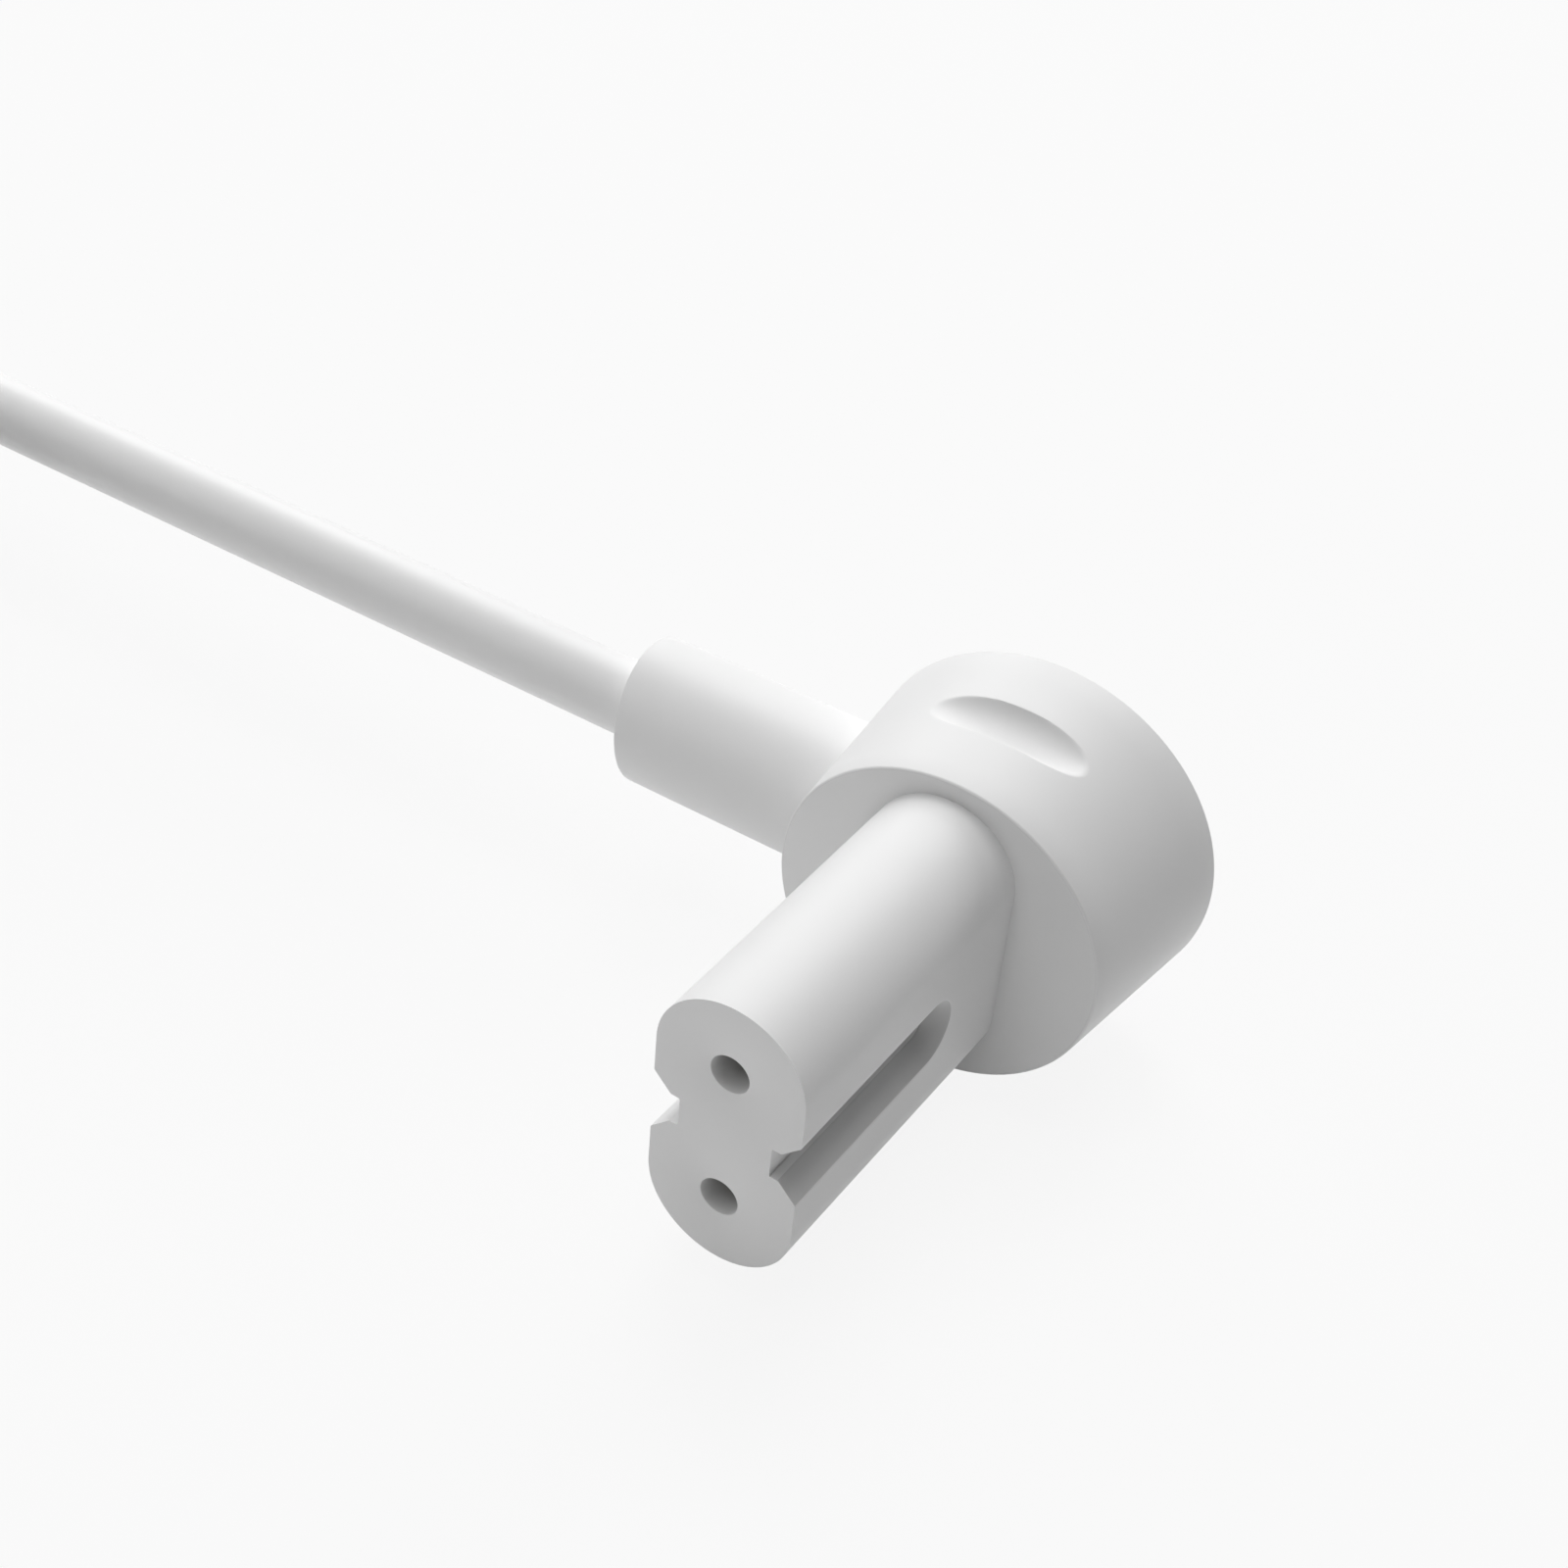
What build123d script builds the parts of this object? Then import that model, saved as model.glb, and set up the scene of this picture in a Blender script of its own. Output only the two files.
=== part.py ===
from build123d import *
import math
import os

os.makedirs("parts", exist_ok=True)

# Connector nose and its two pin holes, in mm
pin_pitch = 8.6
pin_hole = 2.2
nose_width = 8.6
nose_length = 20.0

# Groove in each flat side of the nose
groove_mouth = 4.0
groove_slot = 1.88
groove_depth = 1.6
groove_stop = 7.5  # from the head's face to the middle of the groove's round end

# Head, a short cone that is wider at its back, with a finger scoop across its top
head_front = 19.4
head_back = 21.5
head_length = 11.4
scoop_radius = 1.6
scoop_floor = 9.16  # above the head's axis
scoop_setback = 5.65  # behind the head's face

# Sleeve that holds the cord, with a slightly slanted end
sleeve_size = 8.94
sleeve_setback = 6.4  # from the head's face to the sleeve's axis
sleeve_reach = 23.1  # from the head's axis to the middle of the sleeve's end
sleeve_slant = 7.2  # degrees
slant_rise = 50.0  # degrees above the back, where the sleeve is longest

# Pieces inside the connector
front_wall = 2.4
tower_size = 5.2
plate_width = 6.8
plate_start = 0.8  # behind the head's face
plate_thick = 1.4
socket_size = 3.6
socket_length = 14.4
bore_length = 12.2
barrel_size = 2.6
barrel_end = 3.4  # behind the head's face
barrel_hole = 2.0  # depth
conductor_size = 1.0
core_size = 1.9
core_gap = 0.2
core_straight = 2.4
core_bends = [3.0, 1.8]
sheath_end = 8.0  # from the head's axis

# Cord and its coil, held by a tie
cord_size = 4.7
coil_radius = 30.6  # of the outermost turn's middle
coil_x = -96.5
coil_layers = 4
coil_inner = 16.5
coil_outer = 33.6
coil_corner = 2.25
lead_in = 18.6  # from the coil's middle to where the straight cord ends
lead_turn = 12.0  # from the coil's middle to where the cord starts to come down
tie_thick = 0.6
tie_arc = 14.0  # degrees
tie_at = 13.0  # degrees
end_share = 0.9  # of a route's first or last run that an arc may take
run_share = 0.45  # of any other run

# Plug at the cord's far end, with two round pins
plug_width = 35.3
plug_back = 16.0
plug_thick = 13.7
plug_length = 24.0
plug_straight = 12.0
plug_edge = 1.5
neck_length = 14.0
neck_large = 9.0
neck_small = 6.6
neck_inside = 1.0
prong_pitch = 18.6
prong_size = 4.0
prong_waist = 3.0
prong_length = 19.0
prong_tip = 1.0
prong_inside = 10.0
prong_sleeve = 10.0
collar_size = 5.0
collar_thick = 1.0
bridge_size = (8.0, 26.0, 8.0)
bridge_setback = 3.0

# Places that follow from the sizes
slant = math.radians(sleeve_slant)
rise = math.radians(slant_rise)
sleeve_far = sleeve_reach + sleeve_size / 2 * math.tan(slant)
head_x = (sleeve_far - head_back / 2) / 2
face_y = (nose_length - head_length) / 2
head_z = head_back / 2
cord_y = face_y + sleeve_setback
coil_y = cord_y - coil_radius
coil_high = coil_layers * cord_size
plug_z = tie_thick + coil_high + plug_thick / 2
connector = Pos(head_x, face_y, head_z)
coil_place = Pos(coil_x, coil_y, 0)
levels = {"upper": 1, "lower": -1}
sides = {"left": 1, "right": -1}
x_axis = Vector(1, 0, 0)
y_axis = Vector(0, 1, 0)


def save(name, shape):
    """Write one node and print its size."""
    shape.label = name
    print(name, round(shape.volume, 2), "mm3", "valid", shape.is_valid)
    export_step(shape, f"parts/{name}.step")


def along_y(sketch, start, end, z=0):
    """A sketch pushed along Y from start to end."""
    return extrude(Plane((0, start, z), x_dir=(1, 0, 0), z_dir=(0, 1, 0)) * sketch, end - start)


def along_x(sketch, start, end, y=0, z=0):
    """A sketch pushed along X from start to end."""
    return extrude(Plane((start, y, z), x_dir=(0, 1, 0), z_dir=(1, 0, 0)) * sketch, end - start)


def wire_along(path, radius):
    """A round wire along a path."""
    return sweep(Plane(origin=path @ 0, z_dir=path % 0) * Circle(radius), path=path)


def turned(points, middle, axis):
    """A closed outline of (along, radius) points, turned about an axis through a point."""
    side = Vector(0, 0, 1)
    places = [middle + axis * along + side * radius for along, radius in points]
    return revolve(make_face(Polyline(*places, close=True)), Axis(middle, axis))


# Connector, in the head's own frame: its face at y = 0, its axis along Y


def groove():
    """The cutter of the groove in the nose's right side."""
    side = nose_width / 2
    shoulder = side - (groove_mouth - groove_slot) / 2
    floor = side - groove_depth
    upper = [(side, groove_mouth / 2), (shoulder, groove_slot / 2), (floor, groove_slot / 2)]
    lower = [(x, -z) for x, z in reversed(upper)]
    profile = make_face(Polyline(*upper, *lower, close=True))
    run = extrude(Plane.XZ.offset(groove_stop) * profile, nose_length - groove_stop)
    half = [*upper, (floor, 0), (side, 0)]
    return run + turned(half, Vector(0, -groove_stop, 0), x_axis)


def contact_blank(z):
    """The outer form of a contact: a socket, and a barrel that grips the wire."""
    front = front_wall - nose_length
    socket = along_y(Circle(socket_size / 2), front, front + socket_length, z)
    return socket + along_y(Circle(barrel_size / 2), front + socket_length, barrel_end, z)


def contact(z):
    """A contact with its pin bore and its wire hole."""
    front = front_wall - nose_length
    bore = along_y(Circle(pin_hole / 2), front, front + bore_length, z)
    hole = along_y(Circle(conductor_size / 2), barrel_end - barrel_hole, barrel_end, z)
    return contact_blank(z) - bore - hole


def core_path(side, end):
    """The way of a wire from the cord's sheath to its contact."""
    z = side * (core_size + core_gap) / 2
    return FilletPolyline(
        (-sheath_end, sleeve_setback, z),
        (core_straight - sheath_end, sleeve_setback, z),
        (0, sleeve_setback, side * pin_pitch / 2),
        (0, end, side * pin_pitch / 2),
        radius=core_bends,
    )


def carrier_blank():
    """The carrier's outer form: a plate with a tower round each contact."""
    capsule = Rot(0, 0, 90) * SlotCenterToCenter(pin_pitch, plate_width)
    solid = along_y(capsule, plate_start, plate_start + plate_thick)
    for side in levels.values():
        z = side * pin_pitch / 2
        solid += along_y(Circle(tower_size / 2), front_wall - nose_length, plate_start, z)
    return solid


def housing_blank():
    """Nose, head and sleeve in one moulding, before it is hollowed for the inner pieces."""
    nose = along_y(Rot(0, 0, 90) * SlotCenterToCenter(pin_pitch, nose_width), -nose_length, 0)
    cone = [(0, 0), (0, head_front / 2), (head_length, head_back / 2), (head_length, 0)]
    head = turned(cone, Vector(0, 0, 0), y_axis)
    lean = math.sin(slant)
    facing = (-math.cos(slant), -lean * math.cos(rise), -lean * math.sin(rise))
    end = Plane((-sleeve_reach, sleeve_setback, 0), z_dir=facing)
    rod = along_x(Circle(sleeve_size / 2), -2 * sleeve_far, 0, y=sleeve_setback)
    scoop_z = scoop_floor + scoop_radius
    scoop = along_x(Circle(scoop_radius), -head_front / 2, head_front / 2, scoop_setback, scoop_z)
    return nose + head + split(rod, end, Keep.BOTTOM) - scoop - groove() - mirror(groove(), Plane.YZ)


blanks = [contact_blank(side * pin_pitch / 2) for side in levels.values()]
cores = {}
conductors = {}
for name, side in levels.items():
    cores[name] = wire_along(core_path(side, barrel_end), core_size / 2)
    conductors[name] = wire_along(core_path(side, barrel_end - barrel_hole), conductor_size / 2)

housing = housing_blank() - carrier_blank() - blanks - list(cores.values())
housing -= along_x(Circle(cord_size / 2), -2 * sleeve_far, -sheath_end, y=sleeve_setback)
for side in levels.values():
    z = side * pin_pitch / 2
    housing -= along_y(Circle(pin_hole / 2), -nose_length, front_wall - nose_length, z)

save("connector_housing", connector * housing)
save("contact_carrier", connector * (carrier_blank() - blanks))
for name, side in levels.items():
    save(f"contact_{name}", connector * contact(side * pin_pitch / 2))
    save(f"core_{name}", connector * (cores[name] - conductors[name]))
    save(f"conductor_{name}", connector * conductors[name])

# Cord, straight and level from the sheath's end inside the head to the coil
cord_start = head_x - sheath_end
cord_end = coil_x + lead_in
print("cord is straight, with no bend, length", round(cord_start - cord_end, 1))
save("cord", along_x(Circle(cord_size / 2), cord_end, cord_start, cord_y, head_z))

# Coil: a ring of the turns' outer shape, the cord that comes in and the tail to the plug


def layer(number):
    """The height of the middle of a layer of turns."""
    return tie_thick + (number - 0.5) * cord_size


def route_radii(points):
    """The largest arc that each corner of a cord's route has room for."""
    runs = [Vector(*b) - Vector(*a) for a, b in zip(points, points[1:])]
    room = [run.length * run_share for run in runs]
    room[0] = runs[0].length * end_share
    room[-1] = runs[-1].length * end_share
    radii = []
    for i in range(len(runs) - 1):
        half_turn = math.radians(runs[i].get_angle(runs[i + 1])) / 2
        radii.append(min(room[i], room[i + 1]) / math.tan(half_turn))
    return radii


def cord_along(name, points):
    """A stretch of cord along straight runs joined by arcs."""
    radii = route_radii(points)
    path = FilletPolyline(*points, radius=radii)
    tube = wire_along(path, cord_size / 2)
    section = math.pi * cord_size**2 / 4
    print(name, "radii", [round(r, 1) for r in radii], "length", round(path.length, 1))
    print(name, "volume over section times length", round(tube.volume / section / path.length, 4))
    return tube


def ring(more):
    """The ring's section, larger by a thickness all round."""
    wide = coil_outer - coil_inner + 2 * more
    shape = RectangleRounded(wide, coil_high + 2 * more, coil_corner)
    return Plane.XZ * Pos((coil_inner + coil_outer) / 2, tie_thick + coil_high / 2) * shape


way_in = [
    (lead_in, coil_radius, head_z),
    (lead_turn, coil_radius, head_z),
    (0, coil_radius, layer(2)),
]
way_out = [
    (-14.3, 26.4, layer(4)),
    (-25.6, 17.2, 17.6),
    (-29.1, 3.6, 20.6),
    (-24.0, -9.9, 23.9),
    (-12.0, -18.1, plug_z),
    (-2.5, -18.1, plug_z),
]
coil = revolve(ring(0), Axis.Z) + cord_along("way in", way_in) + cord_along("way out", way_out)
save("cord_coil", coil_place * coil)
tie = revolve(ring(tie_thick) - ring(0), Axis.Z, revolution_arc=tie_arc)
save("cord_tie", coil_place * Rot(0, 0, tie_at) * tie)

# Plug, lying on the coil with its pins along +X; in its own frame the cord comes in at the origin
plug_place = coil_place * Pos(*way_out[-1])
face_x = neck_length + plug_length


def plug_blank():
    """The plug's outer form: a tapered neck and a body that widens to a flat face."""
    bend_x = face_x - plug_straight
    upper = [(neck_length, plug_back / 2), (bend_x, plug_width / 2), (face_x, plug_width / 2)]
    lower = [(x, -y) for x, y in reversed(upper)]
    body = extrude(make_face(Polyline(*upper, *lower, close=True)), plug_thick / 2, both=True)
    body = fillet(body.edges() - body.edges().group_by(Axis.X)[-1], plug_edge)
    end = neck_length + neck_inside
    cone = [(0, 0), (0, neck_small / 2), (end, neck_large / 2), (end, 0)]
    return body + turned(cone, Vector(0, 0, 0), x_axis)


def prong(side):
    """A pin with a collar inside the plug, a waist under its sleeve and a tapered tip."""
    root = face_x - prong_inside
    step = face_x + prong_sleeve
    tip = face_x + prong_length
    outline = [
        (root, 0),
        (root, collar_size / 2),
        (root + collar_thick, collar_size / 2),
        (root + collar_thick, prong_waist / 2),
        (step, prong_waist / 2),
        (step, prong_size / 2),
        (tip - prong_tip, prong_size / 2),
        (tip, prong_size / 4),
        (tip, 0),
    ]
    return turned(outline, Vector(0, side * prong_pitch / 2, 0), x_axis)


def prong_cover(side):
    """The insulating sleeve round a pin's waist."""
    end = face_x + prong_sleeve
    inner = prong_waist / 2
    outer = prong_size / 2
    outline = [(face_x, inner), (face_x, outer), (end, outer), (end, inner)]
    return turned(outline, Vector(0, side * prong_pitch / 2, 0), x_axis)


bridge_x = face_x - bridge_setback - bridge_size[0] / 2
bridge = Pos(bridge_x, 0, 0) * Box(*bridge_size)
prongs = {name: prong(side) for name, side in sides.items()}
save("plug_body", plug_place * (plug_blank() - bridge - list(prongs.values())))
save("plug_bridge", plug_place * (bridge - list(prongs.values())))
for name, side in sides.items():
    save(f"plug_pin_{name}", plug_place * prongs[name])
    save(f"pin_sleeve_{name}", plug_place * prong_cover(side))
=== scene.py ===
"""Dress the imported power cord: its connector, cord, coil and plug, with camera, floor and light."""

import logging
import math
from collections.abc import Callable, Sequence
from dataclasses import dataclass
from enum import Enum

import bmesh
import bpy
from mathutils import Matrix, Vector


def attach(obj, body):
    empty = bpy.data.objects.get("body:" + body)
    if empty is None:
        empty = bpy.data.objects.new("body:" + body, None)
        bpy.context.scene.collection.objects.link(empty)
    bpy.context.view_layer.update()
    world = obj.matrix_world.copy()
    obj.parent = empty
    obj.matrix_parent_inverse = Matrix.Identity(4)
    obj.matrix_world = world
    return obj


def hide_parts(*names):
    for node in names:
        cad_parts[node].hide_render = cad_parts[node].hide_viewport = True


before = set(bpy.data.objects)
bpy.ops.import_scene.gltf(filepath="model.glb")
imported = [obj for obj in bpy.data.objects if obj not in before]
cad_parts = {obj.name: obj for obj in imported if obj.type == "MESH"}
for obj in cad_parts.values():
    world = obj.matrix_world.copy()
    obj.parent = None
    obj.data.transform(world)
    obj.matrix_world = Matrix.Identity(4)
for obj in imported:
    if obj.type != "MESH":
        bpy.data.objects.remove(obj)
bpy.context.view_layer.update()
logging.basicConfig(level=logging.INFO, format="%(name)s: %(message)s")
log = logging.getLogger("power_cord")

MM = 0.001
CLOSE = 0.001  # points that are this near, in mm, lie in one place
SQUARE_ON = 0.99  # from this share of its normal on, a face counts as square to an axis
EDGE_STEPS = 4
Point = tuple[float, float, float]
Profile = list[tuple[float, float]]


class Slot(Enum):
    """The record's material slots."""

    MOULDING = "white_moulding"
    INNER = "inner_plastic"
    BRASS = "contact_brass"
    CORE = "core_insulation"
    COPPER = "copper_wire"
    SHEATH = "cord_sheath"
    BAND = "tie_band"
    NICKEL = "pin_nickel"
    PIN_SLEEVE = "pin_insulation"


@dataclass(frozen=True)
class PlasticFinish:
    """A moulded plastic: sizes in mm, mottle as a share of the colour."""

    slot: Slot
    colour: Point
    roughness: float
    specular: float = 0.5
    grain: float = 0.18
    grain_depth: float = 0.002
    mottle: float = 0.02
    sheen: float = 0.0


@dataclass(frozen=True)
class MetalFinish:
    """A drawn or plated metal, with fine lines along its length: sizes in mm."""

    slot: Slot
    colour: Point
    roughness: float
    line: float = 0.12
    line_depth: float = 0.001
    line_squeeze: float = 0.05
    gloss_drift: tuple[float, float] = (-0.08, 0.1)
    dark_share: float = 0.8


PLASTICS = (
    PlasticFinish(Slot.MOULDING, (0.82, 0.82, 0.82), 0.48, specular=0.35),
    PlasticFinish(Slot.SHEATH, (0.82, 0.82, 0.82), 0.42, specular=0.35, grain=0.3, grain_depth=0.003),
    PlasticFinish(Slot.INNER, (0.78, 0.77, 0.72), 0.5, mottle=0.05),
    PlasticFinish(Slot.CORE, (0.16, 0.3, 0.62), 0.4, mottle=0.06),
    PlasticFinish(
        Slot.BAND, (0.72, 0.72, 0.72), 0.7, grain=0.5, grain_depth=0.03, mottle=0.12, sheen=0.2
    ),
    PlasticFinish(Slot.PIN_SLEEVE, (0.8, 0.8, 0.8), 0.4),
)
PAINTED_RECESS_SHADE = 0.54  # painted shade: how much darker the plastic's colour is made where a recess is deepest
GLOSS_DRIFT = 0.04
DRIFT_SCALE = 140.0
METALS = (
    MetalFinish(Slot.BRASS, (0.83, 0.62, 0.27), 0.32),
    MetalFinish(Slot.COPPER, (0.82, 0.44, 0.26), 0.35),
    MetalFinish(Slot.NICKEL, (0.74, 0.72, 0.68), 0.24),
)


@dataclass(frozen=True)
class View:
    """The photograph's camera: place and near limit in mm, axes, and lens in pixels of the frame."""

    centre: Point = (49.697, -89.656, 100.474)
    right: Point = (0.779349, 0.62659, 0.0)
    down: Point = (0.385395, -0.479353, -0.788474)
    forward: Point = (-0.49405, 0.614497, -0.615068)
    focal: float = 2539.41
    middle: tuple[float, float] = (475.665, 772.667)
    frame_size: float = 1600.0
    sensor: float = 36.0
    near: float = 5.0

    def make(self) -> bpy.types.Object:
        """Make the scene's camera.

        Returns:
            The camera object, set as the scene's own.
        """
        lens = bpy.data.cameras.new("photo_camera")
        lens.sensor_width = self.sensor
        lens.lens = self.sensor * self.focal / self.frame_size
        lens.shift_x = 0.5 - self.middle[0] / self.frame_size
        lens.shift_y = self.middle[1] / self.frame_size - 0.5
        lens.clip_start = self.near * MM
        camera = bpy.data.objects.new("photo_camera", lens)
        axes = Matrix((self.right, -Vector(self.down), -Vector(self.forward))).transposed()
        camera.matrix_world = Matrix.Translation(Vector(self.centre) * MM) @ axes.to_4x4()
        bpy.context.scene.collection.objects.link(camera)
        bpy.context.scene.camera = camera
        return camera


@dataclass(frozen=True)
class CoilPass:
    """One stretch of the coil's winding, in turns, with its radius and height in metres at both ends."""

    turns: float
    radius: tuple[float, float]
    height: tuple[float, float]


@dataclass(frozen=True)
class CordRoute:
    """The cord's way from the sleeve to the plug, in metres."""

    diameter: float = 0.0047
    length: float = 1.55
    exit: Point = (-0.0168, 0.0107, 0.01075)
    coil_middle: tuple[float, float] = (-0.0965, -0.0199)
    coil_start: float = 90.0
    points_per_turn: int = 24
    order: int = 3
    steps_between_points: int = 5
    steps_round: int = 7
    way_in: tuple[Point, ...] = (
        (-0.0015, 0.0107, 0.01075),
        (-0.0779, 0.0107, 0.01075),
        (-0.0845, 0.0107, 0.01075),
    )
    coil: tuple[CoilPass, ...] = (
        CoilPass(2.247, (0.0306, 0.01993), (0.00765, 0.00765)),
        CoilPass(0.2, (0.01993, 0.01993), (0.00765, 0.00295)),
        CoilPass(2.247, (0.01993, 0.0306), (0.00295, 0.00295)),
        CoilPass(0.11, (0.0306, 0.0312), (0.00295, 0.008)),
        CoilPass(0.13, (0.0312, 0.0284), (0.008, 0.01235)),
        CoilPass(1.96, (0.0284, 0.0193), (0.01235, 0.01235)),
        CoilPass(0.2, (0.0193, 0.0193), (0.01235, 0.01705)),
        CoilPass(1.93, (0.0193, 0.0296), (0.01705, 0.01705)),
    )
    way_out: tuple[Point, ...] = (
        (-0.1108, 0.0065, 0.01705),
        (-0.1221, -0.0027, 0.0176),
        (-0.1256, -0.0163, 0.0206),
        (-0.1205, -0.0298, 0.0239),
        (-0.1085, -0.0380, 0.02625),
        (-0.0990, -0.0380, 0.02625),
    )

    def turns(self) -> list[Point]:
        """Wind the coil.

        Returns:
            The control points of the coil's turns, in metres.
        """
        points = []
        count = int(sum(p.turns for p in self.coil) * self.points_per_turn)
        for step in range(count + 1):
            done = step / self.points_per_turn
            angle = math.radians(self.coil_start) + 2 * math.pi * done
            part = self.coil[-1]
            share = 1.0
            for stretch in self.coil:
                if done <= stretch.turns:
                    part, share = stretch, done / stretch.turns
                    break
                done -= stretch.turns
            radius = part.radius[0] + share * (part.radius[1] - part.radius[0])
            height = part.height[0] + share * (part.height[1] - part.height[0])
            x = self.coil_middle[0] + radius * math.cos(angle)
            y = self.coil_middle[1] + radius * math.sin(angle)
            points.append((x, y, height))
        return points

    def make(self) -> bpy.types.Object:
        """Make the cord as one smooth curve with a round section.

        Returns:
            The curve object.
        """
        curve = bpy.data.curves.new("cord_line", "CURVE")
        curve.dimensions = "3D"
        curve.bevel_depth = self.diameter / 2
        curve.bevel_resolution = self.steps_round
        curve.use_fill_caps = True
        route = [*self.way_in, *self.turns(), *self.way_out]
        spline = curve.splines.new("NURBS")
        spline.points.add(len(route) - 1)
        for control, place in zip(spline.points, route):
            control.co = (*place, 1.0)
        spline.order_u = self.order
        spline.use_endpoint_u = True
        spline.resolution_u = self.steps_between_points
        return link(bpy.data.objects.new("cord_line", curve))


def quarter_turn(steps: int) -> list[float]:
    """Divide a quarter turn, for a rounded edge.

    Args:
        steps: how many parts it has.

    Returns:
        The angles in radians, from 0 to a right angle.
    """
    return [math.pi / 2 * i / steps for i in range(steps + 1)]


def link(thing: bpy.types.Object) -> bpy.types.Object:
    """Put an object in the scene.

    Args:
        thing: the new object.

    Returns:
        The same object.
    """
    bpy.context.scene.collection.objects.link(thing)
    return thing


class Shell:
    """A mesh in the making, with its points in mm in a frame of its own."""

    def __init__(self, place: Point) -> None:
        """Start an empty mesh.

        Args:
            place: where the shell's own origin lies in the row frame, in mm.
        """
        self.place = Vector(place)
        self.bm = bmesh.new()

    def grid(self, rows: Sequence[Sequence[Point]], closed: bool = False) -> None:
        """Add quads between rows of points.

        Args:
            rows: rows with the same number of points.
            closed: whether each row comes back to its first point.
        """
        made = [[self.bm.verts.new(point) for point in row] for row in rows]
        for low, high in zip(made, made[1:]):
            last = len(low) if closed else len(low) - 1
            for i in range(last):
                j = (i + 1) % len(low)
                self.bm.faces.new((low[i], low[j], high[j], high[i]))

    def face(self, points: Sequence[Point]) -> None:
        """Add one flat face.

        Args:
            points: its corners in order.
        """
        self.bm.faces.new([self.bm.verts.new(point) for point in points])

    def turned(self, profile: Profile, at: Callable[[float, float, float], Point], steps: int) -> None:
        """Add a turned surface.

        Args:
            profile: (along, radius) points.
            at: gives the place of (along, radius, angle).
            steps: how many points go round.
        """
        angles = [2 * math.pi * i / steps for i in range(steps)]
        self.grid([[at(along, radius, a) for a in angles] for along, radius in profile], closed=True)

    def weld(self) -> None:
        """Join the points that lie in one place."""
        bmesh.ops.remove_doubles(self.bm, verts=self.bm.verts[:], dist=CLOSE)

    def fill_at(self, y: float) -> None:
        """Close the flat face whose outline and holes are open edges at one depth.

        Args:
            y: the depth in mm.
        """
        edges = [e for e in self.bm.edges if e.is_boundary]
        rim = [e for e in edges if all(abs(v.co.y - y) < CLOSE for v in e.verts)]
        bmesh.ops.triangle_fill(self.bm, edges=rim, use_beauty=True)

    def mark(self, name: str, rule: Callable[[Vector, Vector], float]) -> None:
        """Write a value on each face corner, for the material to read.

        Args:
            name: the attribute's name.
            rule: gives the value for a point and the normal of its face.
        """
        self.bm.normal_update()
        layer = self.bm.loops.layers.float.new(name)
        for face in self.bm.faces:
            for loop in face.loops:
                loop[layer] = rule(loop.vert.co, face.normal)

    def make(self, name: str, crease: float = 32.0) -> bpy.types.Object:
        """Turn the shell into an object in metres, smooth but for its sharp edges.

        Args:
            name: the object's name.
            crease: edges that turn by more than this many degrees stay sharp.

        Returns:
            The mesh object.
        """
        self.weld()
        bmesh.ops.recalc_face_normals(self.bm, faces=self.bm.faces[:])
        to_metres = Matrix.Scale(MM, 4) @ Matrix.Translation(self.place)
        bmesh.ops.transform(self.bm, matrix=to_metres, verts=self.bm.verts[:])
        mesh = bpy.data.meshes.new(name)
        self.bm.to_mesh(mesh)
        self.bm.free()
        mesh.shade_smooth()
        mesh.set_sharp_from_angle(angle=math.radians(crease))
        return link(bpy.data.objects.new(name, mesh))


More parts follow.
